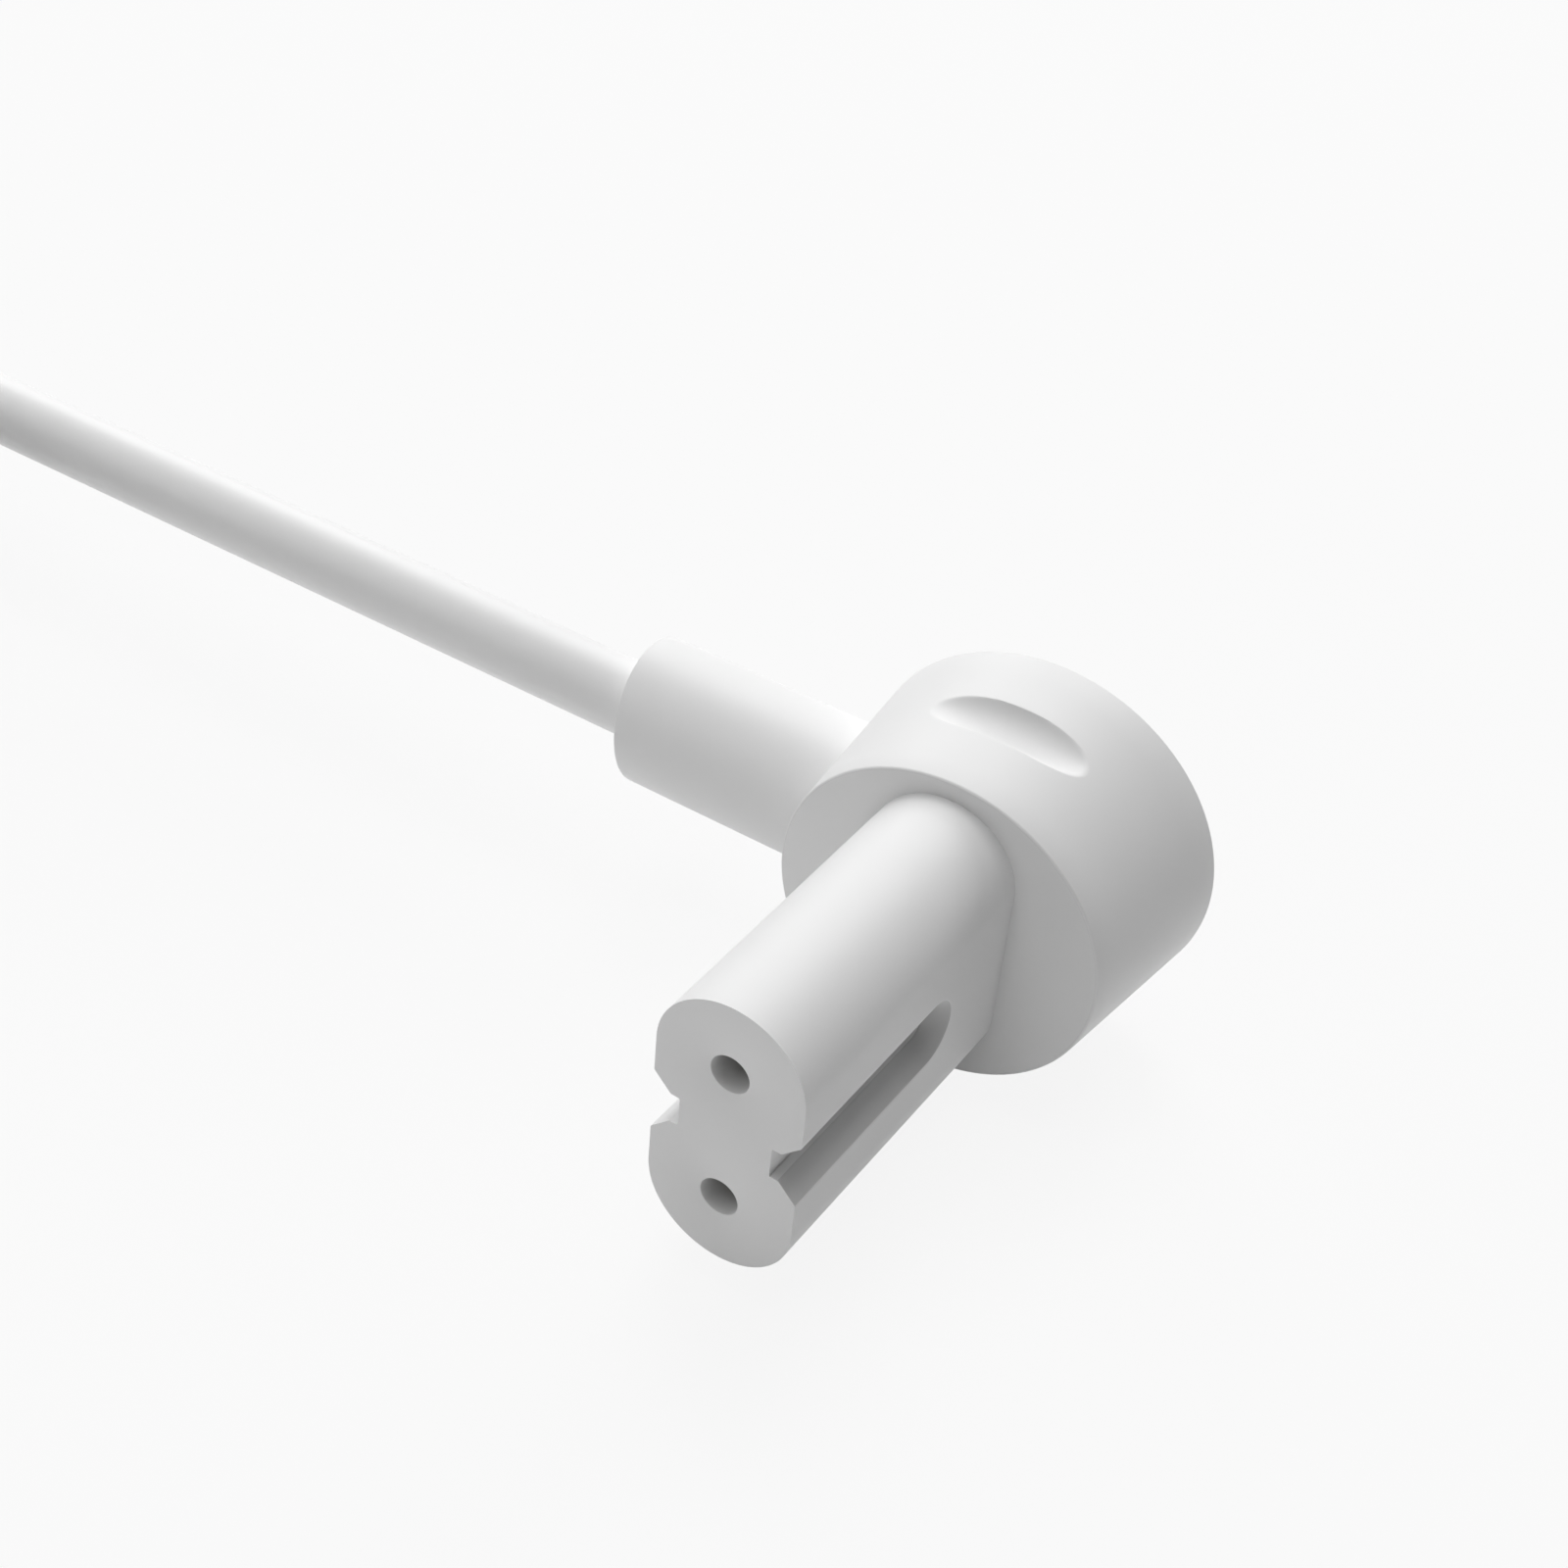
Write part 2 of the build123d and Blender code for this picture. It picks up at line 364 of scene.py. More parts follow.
@dataclass(frozen=True)
class Connector:
    """The connector's moulding, in mm, in the head's own frame: its face at y = 0, its axis along Y.

    The shades are painted shade, from 0 to 1, that darkens the colour in its recesses, and the fades say
    over which length. Rows are where extra points lie. groove_slant is the range of the slanted faces'
    normals along X, and scoop_angle, in degrees, is half of the top's finely divided part.
    """

    place: Point = (6.4574, 4.3, 10.75)
    nose_width: float = 8.6
    nose_length: float = 20.0
    pin_pitch: float = 8.6
    pin_hole: float = 2.2
    pin_lip: float = 0.08
    front_wall: float = 2.4
    hole_fade: float = 1.2
    root_rows: tuple[float, ...] = (-2.0, -1.2, -0.7, -0.35, -0.12, 0.0)
    root_shade: float = 0.15
    root_fade: float = 1.3
    groove_mouth: float = 4.0
    groove_slot: float = 1.88
    groove_depth: float = 1.6
    groove_stop: float = 7.5
    groove_edge: float = 0.06
    groove_land: float = 0.35
    groove_slant: tuple[float, float] = (0.3, 0.95)
    groove_shade: float = 0.25
    groove_depth_shade: float = 0.2
    groove_end_shade: float = 0.3
    groove_end_fade: float = 2.5
    head_front: float = 19.4
    head_back: float = 21.5
    head_length: float = 11.4
    head_edge: float = 0.14
    back_edge: float = 0.04
    scoop_radius: float = 1.6
    scoop_floor: float = 9.16
    scoop_setback: float = 5.65
    scoop_blend: float = 0.1
    scoop_margin: float = 0.1
    scoop_angle: float = 30.0
    face_rows: tuple[float, ...] = (0.0, 0.06, 0.15, 0.3, 0.5, 0.75)
    front_row: float = 1.5
    back_row: float = 9.5
    sleeve_size: float = 8.94
    sleeve_setback: float = 6.4
    sleeve_reach: float = 23.1
    sleeve_slant: float = 7.2
    slant_rise: float = 50.0
    sleeve_edge: float = 0.14
    sleeve_rows: tuple[float, ...] = (16.5, 10.0, 1.0)
    cord_hole: float = 4.84
    hole_depth: float = 1.5
    bend_steps: int = 32
    round_steps: int = 64
    sleeve_steps: int = 128
    scoop_steps: int = 200
    scoop_row_steps: int = 68
    head_steps: int = 150

    def groove_profile(self) -> Profile:
        """Half of the groove's section.

        Returns:
            (distance from the groove's middle line, depth) points, from there out to the nose's flat side.
        """
        slot, mouth = self.groove_slot / 2, self.groove_mouth / 2
        depth, edge = self.groove_depth, self.groove_edge
        shoulder = mouth - slot
        return [
            (0.0, depth),
            (slot - 2 * edge, depth),
            (slot, depth - edge / 2),
            (slot, shoulder + edge),
            (slot + edge / 3, shoulder),
            (slot + edge, shoulder - edge),
            (mouth - edge, edge),
            (mouth, edge / 4),
            (mouth + edge, 0.0),
            (mouth + self.groove_land, 0.0),
        ]

    def add_nose(self, shell: Shell) -> None:
        """Add the nose: flat grooved sides, round top and bottom, and a front with two pin holes.

        Args:
            shell: the mesh that it goes into.
        """
        side, half_pitch = self.nose_width / 2, self.pin_pitch / 2
        front, stop = -self.nose_length, -self.groove_stop
        dim, roots = stop - self.groove_end_fade, self.root_rows
        profile = self.groove_profile()
        land = profile[-1][0]
        bend = [math.pi * (0.5 - i / self.bend_steps) for i in range(self.bend_steps + 1)]
        stations = [(y, math.pi / 2) for y in (front, dim)]
        stations += [(stop, a) for a in bend]
        stations += [(y, -math.pi / 2) for y in (dim, front)]
        for hand in (1, -1):
            rows = []
            for y, a in stations:
                across, up = math.cos(a), math.sin(a)
                rows.append([(hand * (side - depth), y + rho * across, rho * up) for rho, depth in profile])
            shell.grid(rows)
            for level in (1, -1):
                shell.face(
                    [
                        (hand * side, front, level * land),
                        (hand * side, dim, level * land),
                        (hand * side, stop, level * land),
                        (hand * side, stop, level * half_pitch),
                        (hand * side, front, level * half_pitch),
                    ]
                )
            end = [(hand * side, stop + land * math.cos(a), land * math.sin(a)) for a in bend]
            lower = [(hand * side, stop, -half_pitch), (hand * side, roots[0], -half_pitch)]
            upper = [(hand * side, roots[0], half_pitch), (hand * side, stop, half_pitch)]
            shell.face([*end, *lower, *upper])
            shell.grid([[(hand * side, y, -half_pitch), (hand * side, y, half_pitch)] for y in roots])
        arc = [math.pi * i / self.round_steps for i in range(self.round_steps + 1)]
        hole, lip = self.pin_hole / 2, self.pin_lip
        wall = [(front, hole + lip), (front + lip / 3, hole + lip / 4), (front + lip, hole)]
        wall.append((front + self.front_wall, hole))
        for level in (1, -1):
            middle = level * half_pitch
            shell.grid(
                [
                    [(side * math.cos(a), y, level * (half_pitch + side * math.sin(a))) for a in arc]
                    for y in (front, stop, *roots)
                ]
            )
            shell.turned(
                wall,
                lambda y, r, a, z=middle: (r * math.cos(a), y, z + r * math.sin(a)),
                self.round_steps,
            )
        shell.weld()
        shell.fill_at(front)

    def head_radius(self, y: float, angle: float) -> float:
        """The head's radius, with the finger scoop in it.

        Args:
            y: distance behind the head's face.
            angle: from the top, in radians.

        Returns:
            The radius in mm.
        """
        edge = self.head_edge if y < self.head_length / 2 else self.back_edge
        plain = (self.head_front + (self.head_back - self.head_front) * y / self.head_length) / 2
        rim = min(y, self.head_length - y)
        if rim < edge:
            plain -= edge - math.sqrt(edge**2 - (edge - rim) ** 2)
        away = abs(y - self.scoop_setback)
        if away >= self.scoop_radius or math.cos(angle) < math.cos(2 * math.radians(self.scoop_angle)):
            return plain
        middle = self.scoop_floor + self.scoop_radius
        cut = (middle - math.sqrt(self.scoop_radius**2 - away**2)) / math.cos(angle)
        blend = max(self.scoop_blend - abs(plain - cut), 0.0) / self.scoop_blend
        return min(plain, cut) - blend**2 * self.scoop_blend / 4

    def nose_reach(self, angle: float) -> float:
        """How far the nose's outline is from the head's axis.

        Args:
            angle: from the top, in radians.

        Returns:
            The distance in mm.
        """
        side, half_pitch = self.nose_width / 2, self.pin_pitch / 2
        across, up = abs(math.sin(angle)), abs(math.cos(angle))
        if up * side <= half_pitch * across:
            return side / across
        return half_pitch * up + math.sqrt(side**2 - (half_pitch * across) ** 2)

    def painted_shade_weight(self, point: Vector, normal: Vector) -> float:
        """How much painted shade darkens a point in a groove, a hole or the corner at the nose's root.

        Args:
            point: its place in mm.
            normal: the normal of its face.

        Returns:
            From 0, open, to 1, deep.
        """
        x, y, z = point
        half_pitch = self.pin_pitch / 2
        if y < CLOSE and abs(normal.y) < SQUARE_ON:
            for level in (half_pitch, -half_pitch):
                if math.hypot(x, z - level) < self.pin_hole / 2 + self.pin_lip + CLOSE:
                    return min((y + self.nose_length) / self.hole_fade, 1.0)
            low, high = self.groove_slant
            if abs(z) < self.groove_mouth / 2 + CLOSE and low < abs(normal.x) < high:
                return self.groove_painted_shade(x, y)
            return self.root_shade * max(1 + y / self.root_fade, 0.0) ** 2
        if abs(y) < CLOSE and abs(normal.y) > SQUARE_ON:
            away = math.hypot(x, z) - self.nose_reach(math.atan2(x, z))
            return self.root_shade * max(1 - away / self.root_fade, 0.0) ** 2
        return 0.0

    def groove_painted_shade(self, x: float, y: float) -> float:
        """How deep a groove's slanted face looks: the photograph shows the right one dark, the left one pale.

        Args:
            x: distance to the right of the nose's middle.
            y: distance behind the head's face.

        Returns:
            From 0, open, to 1, deep.
        """
        # painted shade on the right-hand groove only, deeper inwards and towards the groove's end; the left
        # one stays unshaded
        if x < 0:
            return 0.0
        depth = (self.nose_width / 2 - x) / self.groove_depth
        end = min(max((y + self.groove_stop) / self.groove_end_fade + 1, 0.0), 1.0)
        return self.groove_shade + self.groove_depth_shade * depth + self.groove_end_shade * end

    def add_head(self, shell: Shell) -> None:
        """Add the head: a short cone with small edges and the finger scoop.

        Args:
            shell: the mesh that it goes into.
        """
        length, reach = self.head_length, self.scoop_radius + self.scoop_margin
        rim = [1 - math.cos(turn) for turn in quarter_turn(EDGE_STEPS)]
        front = [self.head_edge * share for share in rim]
        back = [length - self.back_edge * share for share in reversed(rim)]
        shares = [2 * i / self.scoop_row_steps - 1 for i in range(self.scoop_row_steps + 1)]
        fine = [self.scoop_setback + reach * share for share in shares]
        depths = [*front, self.front_row, *fine, self.back_row, *back]
        half = math.radians(self.scoop_angle)
        angles = [half * (2 * i / self.scoop_steps - 1) for i in range(self.scoop_steps + 1)]
        angles += [half + 2 * (math.pi - half) * i / self.head_steps for i in range(1, self.head_steps)]
        inner = [self.nose_reach(a) for a in angles]
        rows = []
        for share in self.face_rows:
            radii = [r + share * (self.head_radius(0.0, a) - r) for r, a in zip(inner, angles)]
            rows.append([(r * math.sin(a), 0.0, r * math.cos(a)) for r, a in zip(radii, angles)])
        for y in depths:
            radii = [self.head_radius(y, a) for a in angles]
            rows.append([(r * math.sin(a), y, r * math.cos(a)) for r, a in zip(radii, angles)])
        shell.grid([*rows, [(0.0, length, 0.0)] * len(angles)], closed=True)

    def add_sleeve(self, shell: Shell) -> None:
        """Add the sleeve, with its slanted end and the hole that the cord comes out of.

        Args:
            shell: the mesh that it goes into.
        """
        rise, slope = math.radians(self.slant_rise), math.tan(math.radians(self.sleeve_slant))
        outer, hole, edge = self.sleeve_size / 2, self.cord_hole / 2, self.sleeve_edge

        def at(along: float, radius: float, angle: float) -> Point:
            """Place a point by its distance inwards from the slanted end."""
            lean = slope * radius * math.cos(angle - rise)
            x = along - self.sleeve_reach - lean
            return x, self.sleeve_setback + radius * math.cos(angle), radius * math.sin(angle)

        profile = [(along, outer) for along in self.sleeve_rows]
        for turn in quarter_turn(EDGE_STEPS):
            profile.append((edge * (1 - math.sin(turn)), outer - edge * (1 - math.cos(turn))))
        profile += [(0.0, hole + edge / 2), (edge / 6, hole + edge / 6), (edge / 2, hole)]
        profile.append((self.hole_depth, hole))
        shell.turned(profile, at, self.sleeve_steps)

    def make(self) -> bpy.types.Object:
        """Make the whole moulding.

        Returns:
            The mesh object that stands for the housing.
        """
        shell = Shell(self.place)
        self.add_nose(shell)
        self.add_head(shell)
        self.add_sleeve(shell)
        shell.weld()
        # painted shade: darkens the colour in the groove, the pin holes and at the nose's root
        shell.mark("painted_shade_weight", self.painted_shade_weight)
        return shell.make("connector_moulding")


@dataclass(frozen=True)
class Plug:
    """The plug's moulding in mm, in its own frame: the cord goes in at the origin, the pins point along +X.

    A ring's thickness is a share of its radius.
    """

    place: Point = (-105.0, -38.0, 26.25)
    width: float = 35.3
    back: float = 16.0
    thick: float = 13.7
    length: float = 24.0
    straight: float = 12.0
    edge: float = 1.5
    face_edge: float = 0.3
    neck_length: float = 20.0
    neck_lean: tuple[float, float] = (0.55, -0.17)
    neck_large: float = 9.0
    neck_small: float = 6.6
    neck_rim: float = 0.2
    neck_flare: float = 0.6
    cord_hole: float = 4.84
    hole_depth: float = 1.5
    ring_count: int = 9
    ring_thick: float = 0.07
    ring_lift: float = 0.15
    ring_sink: float = 0.1
    first_ring: float = 1.0
    last_ring: float = 1.6
    corner_steps: int = 12
    edge_steps: int = 8

    def section(self, x: float, wide: float, high: float, corner: float) -> list[Point]:
        """A rounded oblong across the plug.

        Args:
            x: where it lies.
            wide: half its width.
            high: half its height.
            corner: its corners' radius.

        Returns:
            The outline's points.
        """
        points = []
        for quarter, (sy, sz) in enumerate(((1, 1), (-1, 1), (-1, -1), (1, -1))):
            for i in range(self.corner_steps + 1):
                a = math.pi / 2 * (quarter + i / self.corner_steps)
                y = sy * (wide - corner) + corner * math.cos(a)
                points.append((x, y, sz * (high - corner) + corner * math.sin(a)))
        return points

    def leaned(self, x: float) -> Vector:
        """How far the neck leans towards the cord.

        Args:
            x: a place along the neck.

        Returns:
            The shift of the neck's middle line in mm.
        """
        return Vector((0.0, *self.neck_lean)) * (1 - x / self.neck_length)

    def make(self) -> bpy.types.Object:
        """Make the plug's moulding: a tapered neck, a body that widens, and a flat face.

        Returns:
            The mesh object.
        """
        neck, face = self.neck_length, self.neck_length + self.length
        bend, edge, high = face - self.straight, self.edge, self.thick / 2
        small, large, hole = self.neck_small / 2, self.neck_large / 2, self.cord_hole / 2
        rim, flare, round_face = self.neck_rim, self.neck_flare, self.face_edge
        profile = [(self.hole_depth, hole), (0.0, hole), (0.0, small - rim), (rim, small)]
        profile.append((neck - flare, large))
        rows = []
        for x, radius in profile:
            shift = self.leaned(x)
            rows.append([tuple(shift + Vector(p)) for p in self.section(x, radius, radius, radius)])
        rows.append(self.section(neck, large + flare, large + flare, large + flare))
        slope = (self.width - self.back) / 2 / (bend - neck)
        for turn in quarter_turn(self.edge_steps):
            x = neck + edge * (1 - math.cos(turn))
            inset = edge * (1 - math.sin(turn))
            wide = self.back / 2 + slope * (x - neck) - inset
            rows.append(self.section(x, wide, high - inset, edge))
        for i in range(self.edge_steps + 1):
            share = i / self.edge_steps
            x = bend - edge + 2 * edge * share
            wide = self.width / 2 - slope * edge * (1 - share) ** 2
            rows.append(self.section(x, wide, high, edge))
        for turn in quarter_turn(EDGE_STEPS):
            inset = round_face * (1 - math.cos(turn))
            x = face - round_face * (1 - math.sin(turn))
            rows.append(self.section(x, self.width / 2 - inset, high - inset, edge - inset))
        shell = Shell(self.place)
        shell.grid(rows, closed=True)
        shell.face(rows[-1])
        return shell.make("plug_moulding")

    def make_rings(self, material: bpy.types.Material) -> bpy.types.Object:
        """Make the flex rings round the plug's neck.

        Args:
            material: what the rings are made of.

        Returns:
            A plain mesh object of all the rings.
        """
        first, last = self.neck_small / 2 + self.ring_lift, self.neck_large / 2 - self.ring_sink
        start, end = (
            Vector((x, 0.0, 0.0)) + self.leaned(x)
            for x in (self.first_ring, self.neck_length - self.last_ring)
        )
        step = (end - start) / (self.ring_count - 1)
        inputs = {
            "Count": self.ring_count,
            "Start": (Vector(self.place) + start) * MM,
            "Step": step * MM,
            "First Radius": first * MM,
            "Last Radius": last * MM,
            "Thickness": self.ring_thick,
            "Material": material,
        }
        return grown("plug_neck_rings", ring_row_tree(), inputs)


@dataclass(frozen=True)
class Tie:
    """The band round the coil, drawn tight over its outermost turns.

    The turns are (radius, height) in mm about the coil's middle, and the arcs are in degrees round it.
    """

    place: Point = (-96.5, -19.9, 0.0)
    turns: tuple[tuple[float, float], ...] = (
        (21.4, 2.95),
        (26.2, 2.95),
        (30.8, 7.6),
        (28.2, 17.05),
        (22.9, 17.05),
        (19.5, 12.35),
    )
    cord: float = 4.7
    thick: float = 0.6
    start: float = 13.0
    arc: float = 14.0
    soft_arc: float = 0.5
    soft_share: float = 0.6
    corner_steps: int = 6
    arc_steps: int = 8

    def section(self, more: float, angle: float) -> list[Point]:
        """The band's way round the turns.

        Args:
            more: how far outside the cord it lies.
            angle: where it lies round the coil, in degrees.

        Returns:
            The outline's points.
        """
        turn, reach, points = math.radians(angle), self.cord / 2 + more, []
        for i, (radius, height) in enumerate(self.turns):
            before, after = self.turns[i - 1], self.turns[(i + 1) % len(self.turns)]
            first = math.atan2(before[0] - radius, height - before[1])
            last = math.atan2(radius - after[0], after[1] - height)
            swing = (last - first) % (2 * math.pi)
            for j in range(self.corner_steps + 1):
                a = first + swing * j / self.corner_steps
                r = radius + reach * math.cos(a)
                points.append((r * math.cos(turn), r * math.sin(turn), height + reach * math.sin(a)))
        return points

    def make(self) -> bpy.types.Object:
        """Make the band with softened edges.

        Returns:
            The mesh object.
        """
        start, end = self.start, self.start + self.arc
        soft, thin = self.soft_arc, self.soft_share
        rows = [(start, 0.0), (start, thin), (start + soft, 1.0)]
        rows += [(start + self.arc * i / self.arc_steps, 1.0) for i in range(1, self.arc_steps)]
        rows += [(end - soft, 1.0), (end, thin), (end, 0.0), (start, 0.0)]
        shell = Shell(self.place)
        shell.grid([self.section(share * self.thick, angle) for angle, share in rows], closed=True)
        return shell.make("tie_strap")


def ring_row_tree() -> bpy.types.GeometryNodeTree:
    """Build the node tree that sets a row of rings along a line, each a little larger than the last.

    Returns:
        The geometry node tree with its named inputs.
    """
    tree = bpy.data.node_groups.new("ring_row", "GeometryNodeTree")
    sockets = {
        "Count": "NodeSocketInt",
        "Start": "NodeSocketVector",
        "Step": "NodeSocketVector",
        "First Radius": "NodeSocketFloat",
        "Last Radius": "NodeSocketFloat",
        "Thickness": "NodeSocketFloat",
        "Material": "NodeSocketMaterial",
    }
    tree.interface.new_socket("Geometry", in_out="INPUT", socket_type="NodeSocketGeometry")
    for name, kind in sockets.items():
        tree.interface.new_socket(name, in_out="INPUT", socket_type=kind)
    tree.interface.new_socket("Geometry", in_out="OUTPUT", socket_type="NodeSocketGeometry")
    new, join = tree.nodes.new, tree.links.new
    given, result = new("NodeGroupInput"), new("NodeGroupOutput")
    line = new("GeometryNodeMeshLine")
    circle, section = new("GeometryNodeCurvePrimitiveCircle"), new("GeometryNodeCurvePrimitiveCircle")
    tube, rings = new("GeometryNodeCurveToMesh"), new("GeometryNodeInstanceOnPoints")
    index, last, size = new("GeometryNodeInputIndex"), new("ShaderNodeMath"), new("ShaderNodeMapRange")
    real, paint = new("GeometryNodeRealizeInstances"), new("GeometryNodeSetMaterial")
    smooth = new("GeometryNodeSetShadeSmooth")
    line.mode = "OFFSET"
    circle.inputs["Resolution"].default_value = 64
    circle.inputs["Radius"].default_value = 1.0
    section.inputs["Resolution"].default_value = 16
    last.operation = "SUBTRACT"
    last.inputs[1].default_value = 1.0
    rings.inputs["Rotation"].default_value = (0.0, math.pi / 2, 0.0)
    join(given.outputs["Count"], line.inputs["Count"])
    join(given.outputs["Start"], line.inputs["Start Location"])
    join(given.outputs["Step"], line.inputs["Offset"])
    join(given.outputs["Thickness"], section.inputs["Radius"])
    join(circle.outputs["Curve"], tube.inputs["Curve"])
    join(section.outputs["Curve"], tube.inputs["Profile Curve"])
    join(given.outputs["Count"], last.inputs[0])
    join(index.outputs["Index"], size.inputs["Value"])
    join(last.outputs["Value"], size.inputs["From Max"])
    join(given.outputs["First Radius"], size.inputs["To Min"])
    join(given.outputs["Last Radius"], size.inputs["To Max"])
    join(line.outputs["Mesh"], rings.inputs["Points"])
    join(tube.outputs["Mesh"], rings.inputs["Instance"])
    join(size.outputs["Result"], rings.inputs["Scale"])
    join(rings.outputs["Instances"], real.inputs["Geometry"])
    join(real.outputs["Geometry"], smooth.inputs["Geometry"])
    join(smooth.outputs["Geometry"], paint.inputs["Geometry"])
    join(given.outputs["Material"], paint.inputs["Material"])
    join(paint.outputs["Geometry"], result.inputs["Geometry"])
    return tree


def grown(name: str, tree: bpy.types.GeometryNodeTree, inputs: dict[str, object]) -> bpy.types.Object:
    """Run a geometry node tree and keep its result as a plain mesh.

    Args:
        name: the object's name.
        tree: the node tree.
        inputs: values by the names of the tree's inputs.

    Returns:
        An object with the mesh and no modifier.
    """
    seed = link(bpy.data.objects.new(name, bpy.data.meshes.new(name)))
    modifier = seed.modifiers.new("grow", "NODES")
    modifier.node_group = tree
    for item in tree.interface.items_tree:
        if item.in_out == "INPUT" and item.name in inputs:
            modifier[item.identifier] = inputs[item.name]
    seed.update_tag()
    depsgraph = bpy.context.evaluated_depsgraph_get()
    mesh = bpy.data.meshes.new_from_object(seed.evaluated_get(depsgraph), depsgraph=depsgraph)
    seed.modifiers.remove(modifier)
    seed.data = mesh
    return seed


def moulded_group() -> bpy.types.ShaderNodeTree:
    """Build the moulded plastics' shared surface: fine grain, slow drift of colour and gloss, painted shade
    in recesses.

    Returns:
        The shader node group.
    """
    group = bpy.data.node_groups.new("moulded_surface", "ShaderNodeTree")
    for name, kind in (
        ("Color", "NodeSocketColor"),
        ("Mottle", "NodeSocketFloat"),
        ("Painted Shade", "NodeSocketFloat"),
        ("Roughness", "NodeSocketFloat"),
        ("Grain Scale", "NodeSocketFloat"),
        ("Grain Depth", "NodeSocketFloat"),
    ):
        group.interface.new_socket(name, in_out="INPUT", socket_type=kind)
    for name, kind in (
        ("Color", "NodeSocketColor"),
        ("Roughness", "NodeSocketFloat"),
        ("Normal", "NodeSocketVector"),
    ):
        group.interface.new_socket(name, in_out="OUTPUT", socket_type=kind)
    new, join = group.nodes.new, group.links.new
    given, result, place = new("NodeGroupInput"), new("NodeGroupOutput"), new("ShaderNodeTexCoord")
    grain, drift, bump = new("ShaderNodeTexNoise"), new("ShaderNodeTexNoise"), new("ShaderNodeBump")
    dark, painted_shade_and_mottle, level = new("ShaderNodeMath"), new("ShaderNodeMath"), new("ShaderNodeMath")
    gloss, shade = new("ShaderNodeMapRange"), new("ShaderNodeMix")
    grain.inputs["Detail"].default_value = 3.0
    drift.inputs["Scale"].default_value = DRIFT_SCALE
    drift.inputs["Detail"].default_value = 2.0
    dark.operation = "MULTIPLY"
    # painted shade: the recess value, scaled and added to the random mottle, darkens the colour towards black
    painted_shade_and_mottle.operation = "MULTIPLY_ADD"
    painted_shade_and_mottle.inputs[1].default_value = PAINTED_RECESS_SHADE
    level.operation = "ADD"
    shade.data_type = "RGBA"
    shade.blend_type = "MULTIPLY"
    shade.inputs["B"].default_value = (0.0, 0.0, 0.0, 1.0)
    gloss.inputs["To Min"].default_value = -GLOSS_DRIFT
    gloss.inputs["To Max"].default_value = GLOSS_DRIFT
    join(place.outputs["Object"], grain.inputs["Vector"])
    join(place.outputs["Object"], drift.inputs["Vector"])
    join(given.outputs["Grain Scale"], grain.inputs["Scale"])
    join(grain.outputs["Fac"], bump.inputs["Height"])
    join(given.outputs["Grain Depth"], bump.inputs["Distance"])
    join(drift.outputs["Fac"], dark.inputs[0])
    join(given.outputs["Mottle"], dark.inputs[1])
    join(given.outputs["Painted Shade"], painted_shade_and_mottle.inputs[0])
    join(dark.outputs["Value"], painted_shade_and_mottle.inputs[2])
    join(painted_shade_and_mottle.outputs["Value"], shade.inputs["Factor"])
    join(given.outputs["Color"], shade.inputs["A"])
    join(drift.outputs["Fac"], gloss.inputs["Value"])
    join(gloss.outputs["Result"], level.inputs[0])
    join(given.outputs["Roughness"], level.inputs[1])
    join(shade.outputs["Result"], result.inputs["Color"])
    join(level.outputs["Value"], result.inputs["Roughness"])
    join(bump.outputs["Normal"], result.inputs["Normal"])
    return group


def plastic(finish: PlasticFinish, group: bpy.types.ShaderNodeTree) -> bpy.types.Material:
    """Make a plastic from its finish.

    Args:
        finish: its colour, gloss and grain.
        group: the shared surface group.

    Returns:
        The material.
    """
    material = bpy.data.materials.new(finish.slot.value)
    material.use_nodes = True
    nodes, join = material.node_tree.nodes, material.node_tree.links.new
    shader = nodes["Principled BSDF"]
    surface = nodes.new("ShaderNodeGroup")
    surface.node_tree = group
    surface.inputs["Color"].default_value = (*finish.colour, 1.0)
    surface.inputs["Mottle"].default_value = finish.mottle
    surface.inputs["Roughness"].default_value = finish.roughness
    surface.inputs["Grain Scale"].default_value = 1.0 / (finish.grain * MM)
    surface.inputs["Grain Depth"].default_value = finish.grain_depth * MM
    shader.inputs["Specular IOR Level"].default_value = finish.specular
    shader.inputs["Sheen Weight"].default_value = finish.sheen
    # painted shade: the mesh's recess values darken the plastic's colour
    painted_shade_weight = nodes.new("ShaderNodeAttribute")
    painted_shade_weight.attribute_name = "painted_shade_weight"
    join(painted_shade_weight.outputs["Fac"], surface.inputs["Painted Shade"])
    join(surface.outputs["Color"], shader.inputs["Base Color"])
    join(surface.outputs["Roughness"], shader.inputs["Roughness"])
    join(surface.outputs["Normal"], shader.inputs["Normal"])
    return material


